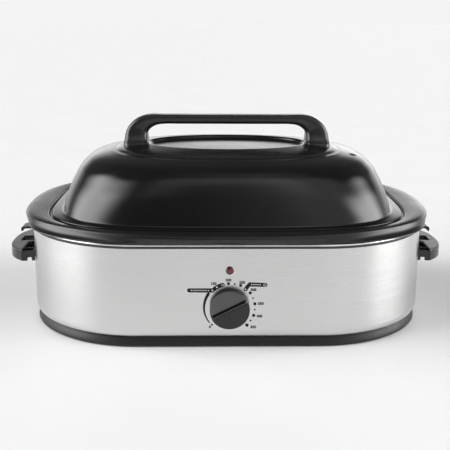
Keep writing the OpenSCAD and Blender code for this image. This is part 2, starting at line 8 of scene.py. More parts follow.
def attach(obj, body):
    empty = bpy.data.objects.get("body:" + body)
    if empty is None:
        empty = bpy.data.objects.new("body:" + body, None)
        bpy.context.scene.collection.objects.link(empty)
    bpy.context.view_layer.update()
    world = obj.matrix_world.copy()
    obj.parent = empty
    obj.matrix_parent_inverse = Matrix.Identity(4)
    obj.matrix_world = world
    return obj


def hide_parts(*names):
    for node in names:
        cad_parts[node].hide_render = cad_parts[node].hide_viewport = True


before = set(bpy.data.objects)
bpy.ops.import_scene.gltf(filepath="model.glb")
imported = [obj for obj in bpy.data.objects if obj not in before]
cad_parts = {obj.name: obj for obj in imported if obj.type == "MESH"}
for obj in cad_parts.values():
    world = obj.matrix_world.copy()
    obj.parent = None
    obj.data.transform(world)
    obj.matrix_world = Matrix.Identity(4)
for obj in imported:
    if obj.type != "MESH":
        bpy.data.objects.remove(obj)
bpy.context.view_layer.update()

MM = 0.001
scene = bpy.context.scene
scene.view_settings.view_transform = "Standard"
scene.view_settings.look = "None"


# ---- camera --------------------------------------------------------------

def make_camera():
    target = Vector((0, 0, 0.140))
    dist, el, az = 1.170, math.radians(12.7), math.radians(-1.35)
    back = Vector((math.sin(az) * math.cos(el), -math.cos(az) * math.cos(el), math.sin(el)))
    cam = bpy.data.cameras.new("camera")
    ob = bpy.data.objects.new("camera", cam)
    scene.collection.objects.link(ob)
    ob.location = target + back * dist
    q = (-back).to_track_quat("-Z", "Y")
    ob.rotation_mode = "QUATERNION"
    ob.rotation_quaternion = q @ Matrix.Rotation(math.radians(0.32), 4, "Z").to_quaternion()
    cam.sensor_width = 36.0
    cam.lens = 36.0 * 812.0 / 450.0
    cam.shift_y = -22.2 / 450.0
    cam.shift_x = -1.4 / 450.0
    cam.clip_start, cam.clip_end = 0.05, 200.0
    scene.camera = ob


make_camera()


# ---- materials -----------------------------------------------------------

class Mat:
    """A small helper round one node tree."""

    def __init__(self, name, **k):
        m = bpy.data.materials.new(name)
        m.use_nodes = True
        self.m, self.t = m, m.node_tree
        self.t.nodes.clear()
        self.out = self.n("ShaderNodeOutputMaterial")
        self.b = self.n("ShaderNodeBsdfPrincipled")
        self.l(self.b.outputs[0], self.out.inputs[0])
        self.set(**k)

    def n(self, kind, **k):
        x = self.t.nodes.new(kind)
        for a, v in k.items():
            setattr(x, a, v)
        return x

    def l(self, a, b):
        self.t.links.new(a, b)

    def set(self, **k):
        for a, v in k.items():
            self.b.inputs[a.replace("_", " ")].default_value = v

    def coords(self, kind="Object", scale=(1, 1, 1)):
        c = self.n("ShaderNodeTexCoord")
        m = self.n("ShaderNodeMapping")
        m.inputs["Scale"].default_value = scale
        self.l(c.outputs[kind], m.inputs["Vector"])
        return m.outputs[0]

    def noise(self, vec, scale=1.0, detail=3.0, rough=0.5):
        x = self.n("ShaderNodeTexNoise")
        x.inputs["Scale"].default_value = scale
        x.inputs["Detail"].default_value = detail
        x.inputs["Roughness"].default_value = rough
        self.l(vec, x.inputs["Vector"])
        return x.outputs["Fac"]

    def voronoi(self, vec, scale, feature="F1", out="Distance"):
        x = self.n("ShaderNodeTexVoronoi", feature=feature)
        x.inputs["Scale"].default_value = scale
        self.l(vec, x.inputs["Vector"])
        return x.outputs[out]

    def ramp(self, fac, lo, hi, a=0.3, b=0.7):
        """Maps fac from a..b to lo..hi."""
        x = self.n("ShaderNodeMapRange")
        x.inputs["From Min"].default_value = a
        x.inputs["From Max"].default_value = b
        x.inputs["To Min"].default_value = lo
        x.inputs["To Max"].default_value = hi
        self.l(fac, x.inputs["Value"])
        return x.outputs[0]

    def mix(self, fac, c0, c1):
        x = self.n("ShaderNodeMix", data_type="RGBA")
        x.inputs[6].default_value = (*c0, 1) if isinstance(c0, tuple) else (0, 0, 0, 1)
        x.inputs[7].default_value = (*c1, 1) if isinstance(c1, tuple) else (0, 0, 0, 1)
        if not isinstance(c0, tuple):
            self.l(c0, x.inputs[6])
        if not isinstance(c1, tuple):
            self.l(c1, x.inputs[7])
        self.l(fac, x.inputs[0])
        return x.outputs[2]

    def math(self, op, a, b):
        x = self.n("ShaderNodeMath", operation=op)
        for i, v in enumerate((a, b)):
            if isinstance(v, (int, float)):
                x.inputs[i].default_value = v
            else:
                self.l(v, x.inputs[i])
        return x.outputs[0]

    def bump(self, height, dist, strength=1.0, under=None):
        x = self.n("ShaderNodeBump")
        x.inputs["Strength"].default_value = strength
        x.inputs["Distance"].default_value = dist
        self.l(height, x.inputs["Height"])
        if under is not None:
            self.l(under, x.inputs["Normal"])
        return x.outputs[0]

    def to(self, **k):
        for a, v in k.items():
            self.l(v, self.b.inputs[a.replace("_", " ")])
        return self


def brushed(name, tint=0.62, rough=(0.26, 0.36), aniso=0.75):
    """Sheet with fine hairlines along U, the long way round the body."""
    m = Mat(name, Metallic=1.0, Anisotropic=aniso, Anisotropic_Rotation=0.25)
    uv = m.coords("UV", (5.0, 1500.0, 1.0))
    fine = m.noise(uv, 1.0, 4, 0.65)
    uv2 = m.coords("UV", (22.0, 5200.0, 1.0))
    hair = m.noise(uv2, 1.0, 2, 0.5)
    broad = m.noise(m.coords("UV", (2.0, 60.0, 1.0)), 1.0, 2, 0.5)
    blot = m.noise(m.coords("Object"), 7.0, 3, 0.5)
    lines = m.math("ADD", m.math("MULTIPLY", fine, 0.6), m.math("MULTIPLY", hair, 0.4))
    c = m.mix(m.ramp(lines, 0, 1), (tint * 0.96, tint * 0.96, tint * 0.955),
              (tint * 1.03, tint * 1.03, tint * 1.025))
    c = m.mix(m.ramp(broad, 0, 0.15), c, (tint * 0.92, tint * 0.92, tint * 0.92))
    # painted shade: the colour is darkened towards black where the sheet turns round the two ends (normal along
    # X), standing in for the dark reflections seen there
    nrm = m.n("ShaderNodeTexCoord")
    sep = m.n("ShaderNodeSeparateXYZ")
    m.l(nrm.outputs["Normal"], sep.inputs[0])
    side = m.ramp(m.math("ABSOLUTE", sep.outputs["X"], 0.0), 0.0, 0.28, 0.86, 0.985)
    c = m.mix(side, c, (0.0, 0.0, 0.0))
    r = m.math("ADD", m.ramp(fine, rough[0], rough[1]), m.ramp(blot, -0.02, 0.03))
    t = m.n("ShaderNodeTangent", direction_type="UV_MAP")
    t.uv_map = "uv"
    m.to(Base_Color=c, Roughness=r, Normal=m.bump(lines, 0.00003, 0.5))
    m.l(t.outputs[0], m.b.inputs["Tangent"])
    return m.m


def enamel(name, base=0.012, rough=(0.10, 0.17), peel=0.00006, tint=(1.0, 1.0, 1.05)):
    """Fired glass on steel: deep gloss with a faint orange peel and fine haze."""
    m = Mat(name, Specular_IOR_Level=0.5)
    v = m.coords("Object")
    a = m.noise(v, 210.0, 2, 0.5)
    b = m.noise(v, 34.0, 2, 0.5)
    fleck = m.voronoi(v, 420.0)
    haze = m.noise(v, 9.0, 4, 0.6)
    lo = tuple(base * k for k in tint)
    hi = tuple(base * 1.8 * k for k in tint)
    c = m.mix(m.ramp(haze, 0, 1), lo, hi)
    c = m.mix(m.ramp(fleck, 1, 0, 0.02, 0.09), c, (base * 3.2, base * 3.2, base * 3.4))
    r = m.math("ADD", m.ramp(haze, rough[0], rough[1]), m.ramp(a, -0.01, 0.015))
    h = m.math("ADD", m.math("MULTIPLY", a, 0.35), b)
    m.to(Base_Color=c, Roughness=r, Normal=m.bump(h, peel, 0.6))
    return m.m


def plastic(name, base=0.03, rough=(0.38, 0.5), grain=0.00004, scale=1400.0, tint=(1, 1, 1), spec=0.5):
    """Moulded plastic with a fine spark-eroded grain and rubbed patches."""
    m = Mat(name, Specular_IOR_Level=spec)
    v = m.coords("Object")
    g = m.noise(v, scale, 2, 0.6)
    cell = m.voronoi(v, scale * 0.8)
    rub = m.noise(v, 28.0, 4, 0.6)
    c = m.mix(m.ramp(rub, 0, 1), tuple(base * k for k in tint), tuple(base * 1.35 * k for k in tint))
    r = m.math("ADD", m.ramp(rub, rough[1], rough[0]), m.ramp(g, -0.03, 0.03))
    h = m.math("ADD", g, m.math("MULTIPLY", cell, 0.5))
    m.to(Base_Color=c, Roughness=r, Normal=m.bump(h, grain, 0.5))
    return m.m


def knob_painted_shade_mat(name):
    """Moulded satin knob whose base colour is painted light and shade by face direction: faces tilted a little up
    painted lighter, faces tilted down darker, steeply up- and down-facing faces such as the ridge's upper flank
    and the skirt painted near-black.
    """
    m = Mat(name, Specular_IOR_Level=0.4)
    v = m.coords("Object")
    g = m.noise(v, 1400.0, 2, 0.6)
    rub = m.noise(v, 60.0, 4, 0.6)
    # painted light and shade: the base colour comes from a ramp over each face's direction against the ridge's up
    # direction
    tc = m.n("ShaderNodeTexCoord")
    dot = m.n("ShaderNodeVectorMath", operation="DOT_PRODUCT")
    m.l(tc.outputs["Normal"], dot.inputs[0])
    a = math.radians(26.7)
    dot.inputs[1].default_value = (-math.sin(a), 0.0, math.cos(a))
    r = m.n("ShaderNodeValToRGB")
    e = r.color_ramp.elements
    e[0].position, e[0].color = 0.0, (0.006, 0.006, 0.006, 1)
    e[1].position, e[1].color = 1.0, (0.004, 0.004, 0.004, 1)
    # ramp stops: a little up is painted lighter, down is painted darker, steeply up is painted near-black
    for p_, k in ((0.30, 0.008), (0.45, 0.012), (0.5, 0.03), (0.545, 0.085), (0.64, 0.07), (0.74, 0.006)):
        x = e.new(p_)
        x.color = (k, k, k, 1)
    m.l(m.math("ADD", m.math("MULTIPLY", dot.outputs["Value"], 0.5), 0.5), r.inputs["Fac"])
    c = m.mix(m.ramp(rub, 0, 0.3), r.outputs["Color"], (0.03, 0.03, 0.03))
    m.to(Base_Color=c, Roughness=m.ramp(rub, 0.3, 0.44), Normal=m.bump(g, 0.00003, 0.5))
    return m.m


def metal(name, base=(0.68, 0.68, 0.70), rough=(0.2, 0.32), scale=90.0, bump=0.00002, spangle=0.0):
    m = Mat(name, Metallic=1.0)
    v = m.coords("Object")
    a = m.noise(v, scale, 4, 0.6)
    f = m.noise(v, scale * 14, 2, 0.5)
    c = m.mix(m.ramp(a, 0, 1), tuple(k * 0.9 for k in base), tuple(min(1, k * 1.06) for k in base))
    if spangle:
        s = m.voronoi(v, spangle, out="Color")
        bw = m.n("ShaderNodeRGBToBW")
        m.l(s, bw.inputs[0])
        c = m.mix(m.ramp(bw.outputs[0], 0, 0.35), c, tuple(k * 0.75 for k in base))
    m.to(Base_Color=c, Roughness=m.math("ADD", m.ramp(a, *rough), m.ramp(f, -0.02, 0.03)),
         Normal=m.bump(f, bump, 0.5))
    return m.m


def fibre(name, base):
    m = Mat(name, Roughness=0.95)
    m.set(Sheen_Weight=0.3)
    v = m.coords("Object", (1, 1, 2.5))
    a = m.noise(v, 260.0, 5, 0.7)
    b = m.noise(v, 60.0, 3, 0.6)
    c = m.mix(m.ramp(a, 0, 1), tuple(k * 0.6 for k in base), tuple(min(1, k * 1.1) for k in base))
    m.to(Base_Color=c, Normal=m.bump(m.math("ADD", a, b), 0.0012, 0.8))
    return m.m


def lens_mat(name):
    m = Mat(name, Specular_IOR_Level=0.5, Coat_Weight=0.5, Coat_Roughness=0.04,
            Subsurface_Weight=0.15, Subsurface_Scale=0.002)
    m.set(Subsurface_Radius=(1.0, 0.05, 0.08))
    v = m.coords("Object")
    a = m.noise(v, 300.0, 2, 0.5)
    # painted highlight and shade: a spherical gradient centred just in front of the dome's tip makes the colour
    # lighter red at the front and dark red towards the rim
    g = m.n("ShaderNodeTexGradient", gradient_type="SPHERICAL")
    mp = m.n("ShaderNodeMapping")
    mp.inputs["Location"].default_value = (0, 0.1990 * 200, -0.0995 * 200)
    mp.inputs["Scale"].default_value = (200, 200, 200)
    tc = m.n("ShaderNodeTexCoord")
    m.l(tc.outputs["Object"], mp.inputs["Vector"])
    m.l(mp.outputs[0], g.inputs["Vector"])
    c = m.mix(m.ramp(g.outputs["Fac"], 0, 1, 0.0, 0.75), (0.03, 0.0005, 0.003), (0.15, 0.006, 0.015))
    m.to(Base_Color=c, Roughness=m.ramp(a, 0.12, 0.2), Normal=m.bump(a, 0.00003, 0.3))
    return m.m


def ink(name, base, spec=0.2):
    m = Mat(name, Specular_IOR_Level=spec)
    v = m.coords("Object")
    a = m.noise(v, 2200.0, 2, 0.6)
    c = m.mix(m.ramp(a, 0, 1), tuple(k * 0.85 for k in base), tuple(min(1, k * 1.2 + 0.004) for k in base))
    m.to(Base_Color=c, Roughness=m.ramp(a, 0.42, 0.6), Normal=m.bump(a, 0.00001, 0.4))
    return m.m


M = {
    "wrap": brushed("brushed_wrap", 0.68, (0.2, 0.28), 0.8),
    "bead": metal("bright_bead", (0.9, 0.9, 0.9), (0.08, 0.14), 40.0, 0.00001),
    "pan": enamel("black_enamel", 0.006, (0.2, 0.3)),
    "lid": enamel("lid_enamel", 0.003, (0.12, 0.2)),
    "handle": plastic("handle_black", 0.012, (0.2, 0.28), 0.00002),
    "side": plastic("side_handle_black", 0.010, (0.2, 0.3), 0.00003),
    "knob": knob_painted_shade_mat("knob_black"),
    "base": plastic("black_base", 0.009, (0.4, 0.55), 0.00005, spec=0.38),
    "moulding": plastic("black_moulding", 0.03, (0.4, 0.5)),
    "lens": lens_mat("red_lens"),
    "plate": metal("plate_steel", (0.62, 0.63, 0.64), (0.3, 0.42), 60.0, 0.00003, 90.0),
    "well": metal("well_aluminised", (0.66, 0.67, 0.68), (0.28, 0.4), 25.0, 0.00004, 40.0),
    "zinc": metal("fastener_steel", (0.7, 0.7, 0.72), (0.22, 0.34), 300.0, 0.00002),
    "rack": metal("rack_chrome", (0.8, 0.8, 0.82), (0.06, 0.13), 120.0, 0.00001),
    "ribbon": metal("ribbon_alloy", (0.36, 0.30, 0.25), (0.45, 0.6), 180.0, 0.00003),
    "rubber": plastic("foot_rubber", 0.035, (0.75, 0.9), 0.00006, 900.0, spec=0.3),
    "lead": plastic("lead_jacket", 0.3, (0.45, 0.6), 0.00003, 700.0, tint=(1.0, 0.12, 0.08)),
    "steatite": plastic("steatite", 0.72, (0.55, 0.7), 0.00004, 800.0, tint=(1.0, 0.97, 0.9)),
    "mica": plastic("mica", 0.5, (0.35, 0.55), 0.00003, 300.0, tint=(1.0, 0.9, 0.7)),
    "wool": fibre("glass_wool", (0.80, 0.76, 0.62)),
    "ink": ink("dial_ink", (0.006, 0.006, 0.006)),
    # near-black ink for the painted shade strip on the knob ridge's upper flank
    "slot": ink("slot_black", (0.002, 0.002, 0.002), 0.02),
    "ink_light": ink("dial_ink_light", (0.72, 0.72, 0.71)),
}


# ---- mesh makers ----------------------------------------------------------

def finish_mesh(name, me, mat, body, nodes=(), sharp=38.0, smooth=True):
    me.validate()
    me.materials.clear()
    me.materials.append(mat)
    for p in me.polygons:
        p.use_smooth = smooth
    if smooth and sharp:
        me.set_sharp_from_angle(angle=math.radians(sharp))
    ob = bpy.data.objects.new(name, me)
    scene.collection.objects.link(ob)
    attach(ob, body)
    if nodes:
        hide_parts(*nodes)
    return ob


def from_lists(name, verts, faces):
    me = bpy.data.meshes.new(name)
    me.from_pydata([(v[0] * MM, v[1] * MM, v[2] * MM) for v in verts], [], faces)
    bm = bmesh.new()
    bm.from_mesh(me)
    bmesh.ops.recalc_face_normals(bm, faces=bm.faces)
    bm.to_mesh(me)
    bm.free()
    return me


def sup_r(th, a, b, n):
    c, s = abs(math.cos(th)), abs(math.sin(th))
    return ((c / a) ** n + (s / b) ** n) ** (-1.0 / n)


def spline(pts, step):
    """Centripetal curve through the control points. A point whose last value is 1
    is a corner. Values: [..numbers.., corner]. The first and fourth give length."""
    dim = len(pts[0]) - 1
    runs, cur = [], [pts[0]]
    for p in pts[1:]:
        cur.append(p)
        if p[-1] or p is pts[-1]:
            runs.append(cur)
            cur = [p]
    out = [tuple(pts[0][:dim])]

    def gap(p, q):
        d = math.sqrt(sum((p[i] - q[i]) ** 2 for i in range(dim) if i != 2))
        return max(d, 1e-6)

    for run in runs:
        if len(run) == 2:
            ext = None
        ctrl = [tuple(p[:dim]) for p in run]
        if len(ctrl) == 2:
            n = max(1, min(10, int(gap(*ctrl) / step)))
            for j in range(1, n + 1):
                u = j / n
                out.append(tuple(ctrl[0][i] * (1 - u) + ctrl[1][i] * u for i in range(dim)))
            continue
        first = tuple(2 * ctrl[0][i] - ctrl[1][i] for i in range(dim))
        last = tuple(2 * ctrl[-1][i] - ctrl[-2][i] for i in range(dim))
        c = [first] + ctrl + [last]
        for k in range(1, len(c) - 2):
            p0, p1, p2, p3 = c[k - 1], c[k], c[k + 1], c[k + 2]
            t0 = 0.0
            t1 = t0 + gap(p0, p1) ** 0.5
            t2 = t1 + gap(p1, p2) ** 0.5
            t3 = t2 + gap(p2, p3) ** 0.5
            n = max(2, min(14, int(round(gap(p1, p2) / step))))
            for j in range(1, n + 1):
                t = t1 + (t2 - t1) * j / n
                q = []
                for i in range(dim):
                    a1 = (t1 - t) / (t1 - t0) * p0[i] + (t - t0) / (t1 - t0) * p1[i]
                    a2 = (t2 - t) / (t2 - t1) * p1[i] + (t - t1) / (t2 - t1) * p2[i]
                    a3 = (t3 - t) / (t3 - t2) * p2[i] + (t - t2) / (t3 - t2) * p3[i]
                    b1 = (t2 - t) / (t2 - t0) * a1 + (t - t0) / (t2 - t0) * a2
                    b2 = (t3 - t) / (t3 - t1) * a2 + (t - t1) / (t3 - t1) * a3
                    q.append((t2 - t) / (t2 - t1) * b1 + (t - t1) / (t2 - t1) * b2)
                out.append(tuple(q))
    return out


def shell(name, rings, z0, z1, nr=288, inner=(0.75, 0.45, 0.15)):
    """Closed shell through superellipse rings, with concentric rings to each pole."""
    r0, r1 = rings[0], rings[-1]
    seq = [(r0[0] * k, r0[1] * k, 2 + (r0[2] - 2) * k, z0 + (r0[3] - z0) * k * k) for k in reversed(inner)]
    seq += rings
    seq += [(r1[0] * k, r1[1] * k, 2 + (r1[2] - 2) * k, z1 + (r1[3] - z1) * k * k) for k in inner]
    v, f = [(0, 0, z0)], []
    for (a, b, n, z) in seq:
        for k in range(nr):
            th = 2 * math.pi * k / nr
            q = sup_r(th, a, b, n)
            v.append((q * math.cos(th), q * math.sin(th), z))
    v.append((0, 0, z1))
    m = len(seq)

    def i(r, k):
        return 1 + r * nr + k % nr

    for k in range(nr):
        f.append((0, i(0, k), i(0, k + 1)))
        f.append((i(m - 1, k), len(v) - 1, i(m - 1, k + 1)))
    for r in range(m - 1):
        for k in range(nr):
            f.append((i(r, k), i(r + 1, k), i(r + 1, k + 1), i(r, k + 1)))
    return from_lists(name, v, f)


def rrect_path(a, b, r, arc=48, side=12, end=6):
    """Stations round a rounded rectangle: corner centre and direction."""
    st = []
    cs = [(a - r, b - r), (-(a - r), b - r), (-(a - r), -(b - r)), (a - r, -(b - r))]
    for q, (cx, cy) in enumerate(cs):
        for k in range(arc + 1):
            th = math.radians(90.0 * (q + k / arc))
            st.append((cx, cy, th))
        nx = cs[(q + 1) % 4]
        n = side if q % 2 == 0 else end
        th = math.radians(90.0 * (q + 1))
        for k in range(1, n):
            u = k / n
            st.append((cx + (nx[0] - cx) * u, cy + (nx[1] - cy) * u, th))
    return st


def band(name, a, b, r, prof, uv=False, arc=48):
    """Sweeps a closed profile [(x from the corner centre, z)] round the body."""
    st = rrect_path(a, b, r, arc)
    ns, np_ = len(st), len(prof)
    v, f = [], []
    for (cx, cy, th) in st:
        for (x, z) in prof:
            v.append((cx + x * math.cos(th), cy + x * math.sin(th), z))
    for s in range(ns):
        t = (s + 1) % ns
        for p in range(np_):
            q = (p + 1) % np_
            f.append((s * np_ + p, t * np_ + p, t * np_ + q, s * np_ + q))
    me = bpy.data.meshes.new(name)
    me.from_pydata([(x * MM, y * MM, z * MM) for x, y, z in v], [], f)
    if uv:
        u = [0.0]
        for s in range(ns):
            c0, c1 = st[s], st[(s + 1) % ns]
            p0 = (c0[0] + r * math.cos(c0[2]), c0[1] + r * math.sin(c0[2]))
            p1 = (c1[0] + r * math.cos(c1[2]), c1[1] + r * math.sin(c1[2]))
            u.append(u[-1] + math.dist(p0, p1) * MM)
        w = [0.0]
        for p in range(np_):
            w.append(w[-1] + math.dist(prof[p], prof[(p + 1) % np_]) * MM)
        lay = me.uv_layers.new(name="uv")
        k = 0
        for s in range(ns):
            for p in range(np_):
                for (du, dv) in ((0, 0), (1, 0), (1, 1), (0, 1)):
                    lay.data[k].uv = (u[s + du], w[p + dv])
                    k += 1
    bm = bmesh.new()
    bm.from_mesh(me)
    bmesh.ops.recalc_face_normals(bm, faces=bm.faces)
    bm.to_mesh(me)
    bm.free()
    return me


def lathe(name, prof, seg=96, origin=(0, 0, 0), axis="-Y"):
    """Turned solid: profile [(radius, height along the axis)], closed at radius 0."""
    v, f = [], []
    rows = []
    for (r, h) in prof:
        if r < 1e-6:
            rows.append([len(v)])
            v.append((0, 0, h))
        else:
            rows.append(list(range(len(v), len(v) + seg)))
            for k in range(seg):
                th = 2 * math.pi * k / seg
                v.append((r * math.cos(th), r * math.sin(th), h))
    for i in range(len(rows) - 1):
        A, B = rows[i], rows[i + 1]
        for k in range(seg):
            k2 = (k + 1) % seg
            if len(A) == 1 and len(B) > 1:
                f.append((A[0], B[k], B[k2]))
            elif len(B) == 1 and len(A) > 1:
                f.append((A[k], B[0], A[k2]))
            elif len(A) > 1:
                f.append((A[k], B[k], B[k2], A[k2]))
    if axis == "-Y":
        v = [(x, -z, y) for x, y, z in v]
    elif axis == "+Y":
        v = [(x, z, y) for x, y, z in v]
    v = [(x + origin[0], y + origin[1], z + origin[2]) for x, y, z in v]
    return from_lists(name, v, f)


def soften(node, name, voxel, rounds, mat, body, factor=0.5):
    """A moulded copy of a CAD node: its edges get the small radius of a moulding."""
    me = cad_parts[node].data.copy()
    ob = bpy.data.objects.new(name + "_tmp", me)
    scene.collection.objects.link(ob)
    bm = bmesh.new()
    bm.from_mesh(me)
    bmesh.ops.remove_doubles(bm, verts=bm.verts, dist=1e-6)
    bm.to_mesh(me)
    bm.free()
    r = ob.modifiers.new("remesh", "REMESH")
    r.mode = "VOXEL"
    r.voxel_size = voxel
    s = ob.modifiers.new("smooth", "SMOOTH")
    s.factor = factor
    s.iterations = rounds
    bpy.context.view_layer.update()
    dg = bpy.context.evaluated_depsgraph_get()
    new = bpy.data.meshes.new_from_object(ob.evaluated_get(dg))
    new.name = name
    bpy.data.objects.remove(ob)
    return finish_mesh(name, new, mat, body, (node,), sharp=None)


# ---- base and steel body ---------------------------------------------------

A, B, R = 264.0, 197.0, 150.0
TOP = 127.2


def build_body():
    r = R
    me = band("base_strip", A, B, r, [
        (r - 17, 1.0), (r - 3.3, 1.0), (r - 2.85, 1.08), (r - 2.5, 1.3), (r - 2.32, 1.7), (r - 2.34, 2.6),
        (r - 2.5, 3.8), (r - 2.8, 5.2), (r - 3.3, 6.6), (r - 4.0, 8.2), (r - 4.8, 9.6), (r - 5.7, 11.0),
        (r - 6.2, 11.8), (r - 6.6, 12.3), (r - 7.1, 12.48), (r - 7.6, 12.5), (r - 7.6, 20), (r - 10.4, 20),
        (r - 10.4, 11), (r - 6, 3.7), (r - 17, 3.7)])
    finish_mesh("base_strip", me, M["base"], "housing", ("base_ring",), 50)
    prof = [(r, TOP), (r, 60), (r, 25)]
    for i in range(1, 9):
        a = math.radians(90.0 * i / 9)
        prof.append((r - 6.0 * (1 - math.cos(a)), 25 - 12.0 * math.sin(a)))
    prof += [(r - 6.0, 13.0), (r - 6.5, 13.3), (r - 6.3, 13.9)]
    for i in range(8, 0, -1):
        a = math.radians(90.0 * i / 9)
        prof.append((r - 0.8 - 5.4 * (1 - math.cos(a)), 25 - 11.1 * math.sin(a)))
    prof += [(r - 0.8, 25), (r - 0.8, 60), (r - 0.8, TOP)]
    me = band("steel_wrap", A, B, r, prof, uv=True, arc=64)
    bore_wrap(me)
    finish_mesh("steel_wrap", me, M["wrap"], "housing", ("body_wrap",), 35)
    c = [(r + 0.3 + 1.2 * math.cos(t), TOP + 4.4 + 1.2 * math.sin(t))
         for t in (2 * math.pi * k / 20 for k in range(20))]
    me = band("rim_bead_bright", A, B, r, c, arc=64)
    finish_mesh("rim_bead_bright", me, M["bead"], "housing", ("rim_bead",), None)
    # the neck under the bright bead takes the black moulding colour: painted shade, the dark shadow line between
    # the wrap's top edge and the bead
    me = band("rim_bead_neck_painted_shade", A, B, r, [(r - 1.5, TOP + 0.05), (r - 0.3, TOP + 0.05), (r - 0.3, TOP + 3.8),
                                         (r - 1.5, TOP + 3.8)], arc=64)
    finish_mesh("rim_bead_neck_painted_shade", me, M["moulding"], "housing", (), 35)


def bore_wrap(me):
    """Cuts the shaft, lamp, gland and screw holes by removing what the hole covers."""
    ob = bpy.data.objects.new("wrap_tmp", me)
    scene.collection.objects.link(ob)
    cut = []
    for (x, y, z, rad, ax) in [
            (0, -B, 52.5, 5.3, "Y"), (0, -B, 100, 4.2, "Y"), (80, B, 42, 7.2, "Y"),
            (A, 38, 79, 2.4, "X"), (A, -38, 79, 2.4, "X"), (-A, 38, 79, 2.4, "X"), (-A, -38, 79, 2.4, "X")]:
        bm = bmesh.new()
        bmesh.ops.create_cone(bm, cap_ends=True, segments=48, radius1=rad * MM, radius2=rad * MM, depth=6 * MM)
        rot = Matrix.Rotation(math.pi / 2, 4, "X" if ax == "Y" else "Y")
        bmesh.ops.transform(bm, matrix=Matrix.Translation((x * MM, y * MM, z * MM)) @ rot, verts=bm.verts)
        cm = bpy.data.meshes.new("cut")
        bm.to_mesh(cm)
        bm.free()
        co = bpy.data.objects.new("cut", cm)
        scene.collection.objects.link(co)
        cut.append(co)
        b = ob.modifiers.new("b", "BOOLEAN")
        b.operation = "DIFFERENCE"
        b.solver = "EXACT"
        b.object = co
    bpy.context.view_layer.update()
    dg = bpy.context.evaluated_depsgraph_get()
    new = bpy.data.meshes.new_from_object(ob.evaluated_get(dg))
    bm = bmesh.new()
    bm.from_mesh(new)
    bm.to_mesh(me)
    bm.free()
    bpy.data.objects.remove(ob)
    for co in cut:
        bpy.data.objects.remove(co)


build_body()


# ---- pan and lid -------------------------------------------------------------

RZ = 145.6


def build_pan():
    r, t = RZ, 1.2
    outer = [
        (200, 132, 3, 34, 0), (213, 144, 3, 35.4, 0), (221, 152, 3, 40, 0), (222.8, 153.8, 3, 48, 0),
        (228.9, 160.5, 3.2, r - 8, 0), (232.2, 165, 3.3, r - 5.6, 1),
        (242.7, 180.6, 3.5, r - 5.3, 1), (244.3, 182.4, 3.45, r - 2, 0),
        (262, 196.5, 2.83, r - 0.9, 0), (271, 201.6, 2.66, r - 1.7, 0),
        (276, 204.6, 2.54, r - 3.2, 0), (277.8, 205.8, 2.52, r - 5.2, 0),
        (274.6, 204, 2.72, r - 8.6, 0), (268.6, 200.8, 3.3, r - 12.2, 1),
        (269.1, 201.4, 3.3, r - 12.42, 0), (269.8, 202, 3.3, r - 12.1, 1),
        (275.9, 205.2, 2.72, r - 8.8, 0), (279.2, 207, 2.5, r - 5, 0),
        (277.4, 206, 2.52, r - 2.2, 0), (271.6, 202.8, 2.63, r - 0.4, 0),
        (262, 197.4, 2.8, r + 0.3, 0), (247.4, 185.2, 3.35, r - 0.1, 0), (244.6, 182.6, 3.44, r - 0.3, 0),
        (243.4, 181.3, 3.48, r - 0.85, 0), (242.8, 180.7, 3.5, r - 1.6, 0), (241.8, 179.6, 3.5, r - 3.7, 0),
        (240.9, 178.5, 3.49, r - 4.2, 0), (231.8, 164.6, 3.3, r - 4.5, 0), (227.6, 159.2, 3.2, r - 7.4, 0),
        (221.4, 152.4, 3, 48.5, 0), (219.8, 150.8, 3, 41, 0), (212.4, 143.4, 3, 36.7, 0),
        (200, 132, 3, 34 + t, 1)]
    me = shell("roasting_pan_shell", spline(outer, 2.2), 34, 34 + t)
    finish_mesh("roasting_pan_shell", me, M["pan"], "pan", ("roasting_pan",), None)


LID_OUT = [
    (238.1, 176.5, 3.55, 142.2, 1), (238.15, 176.55, 3.55, 144.6, 0), (237.9, 176.3, 3.55, 145.35, 0),
    (237.2, 175.7, 3.55, 145.72, 0), (235.9, 174.9, 3.55, 145.88, 0), (226.2, 172.6, 3.57, 147.0, 0),
    (224.6, 172.1, 3.58, 147.5, 0), (223.7, 171.4, 3.57, 148.4, 0), (223.0, 170.8, 3.56, 150.2, 0),
    (221.3, 169.3, 3.5, 156.8, 0), (218.4, 167, 3.35, 166.9, 0),
    (214.3, 163, 3.2, 178.5, 0), (208.9, 158, 3.03, 190, 0),
    (202.2, 152, 2.88, 201.7, 0), (196.6, 147.6, 2.8, 207.3, 0),
    (189.7, 142.4, 2.7, 212.8, 0), (181.6, 136.6, 2.62, 216.4, 0),
    (173, 130, 2.55, 218.9, 0), (165, 124.4, 2.47, 220.7, 0),
    (161.5, 121.8, 2.44, 221.5, 0), (159, 119.8, 2.42, 221.9, 0), (156.4, 117.4, 2.39, 222.05, 0),
    (154.4, 115.6, 2.37, 222.5, 0), (152.4, 113.6, 2.36, 223.3, 0), (150, 111.4, 2.34, 224.05, 0),
    (144, 105, 2.29, 225.1, 0), (133, 93, 2.22, 226.7, 0), (122, 80.4, 2.15, 228.2, 0),
    (115.5, 73.2, 2.12, 229.0, 0), (112.6, 70.2, 2.1, 229.3, 0), (110.4, 68, 2.1, 229.2, 0),
    (108.2, 65.8, 2.1, 228.2, 0), (106.6, 64.3, 2.1, 225.8, 0), (104.6, 62.4, 2.1, 224.7, 0),
    (96, 55, 2.1, 224.2, 1)]


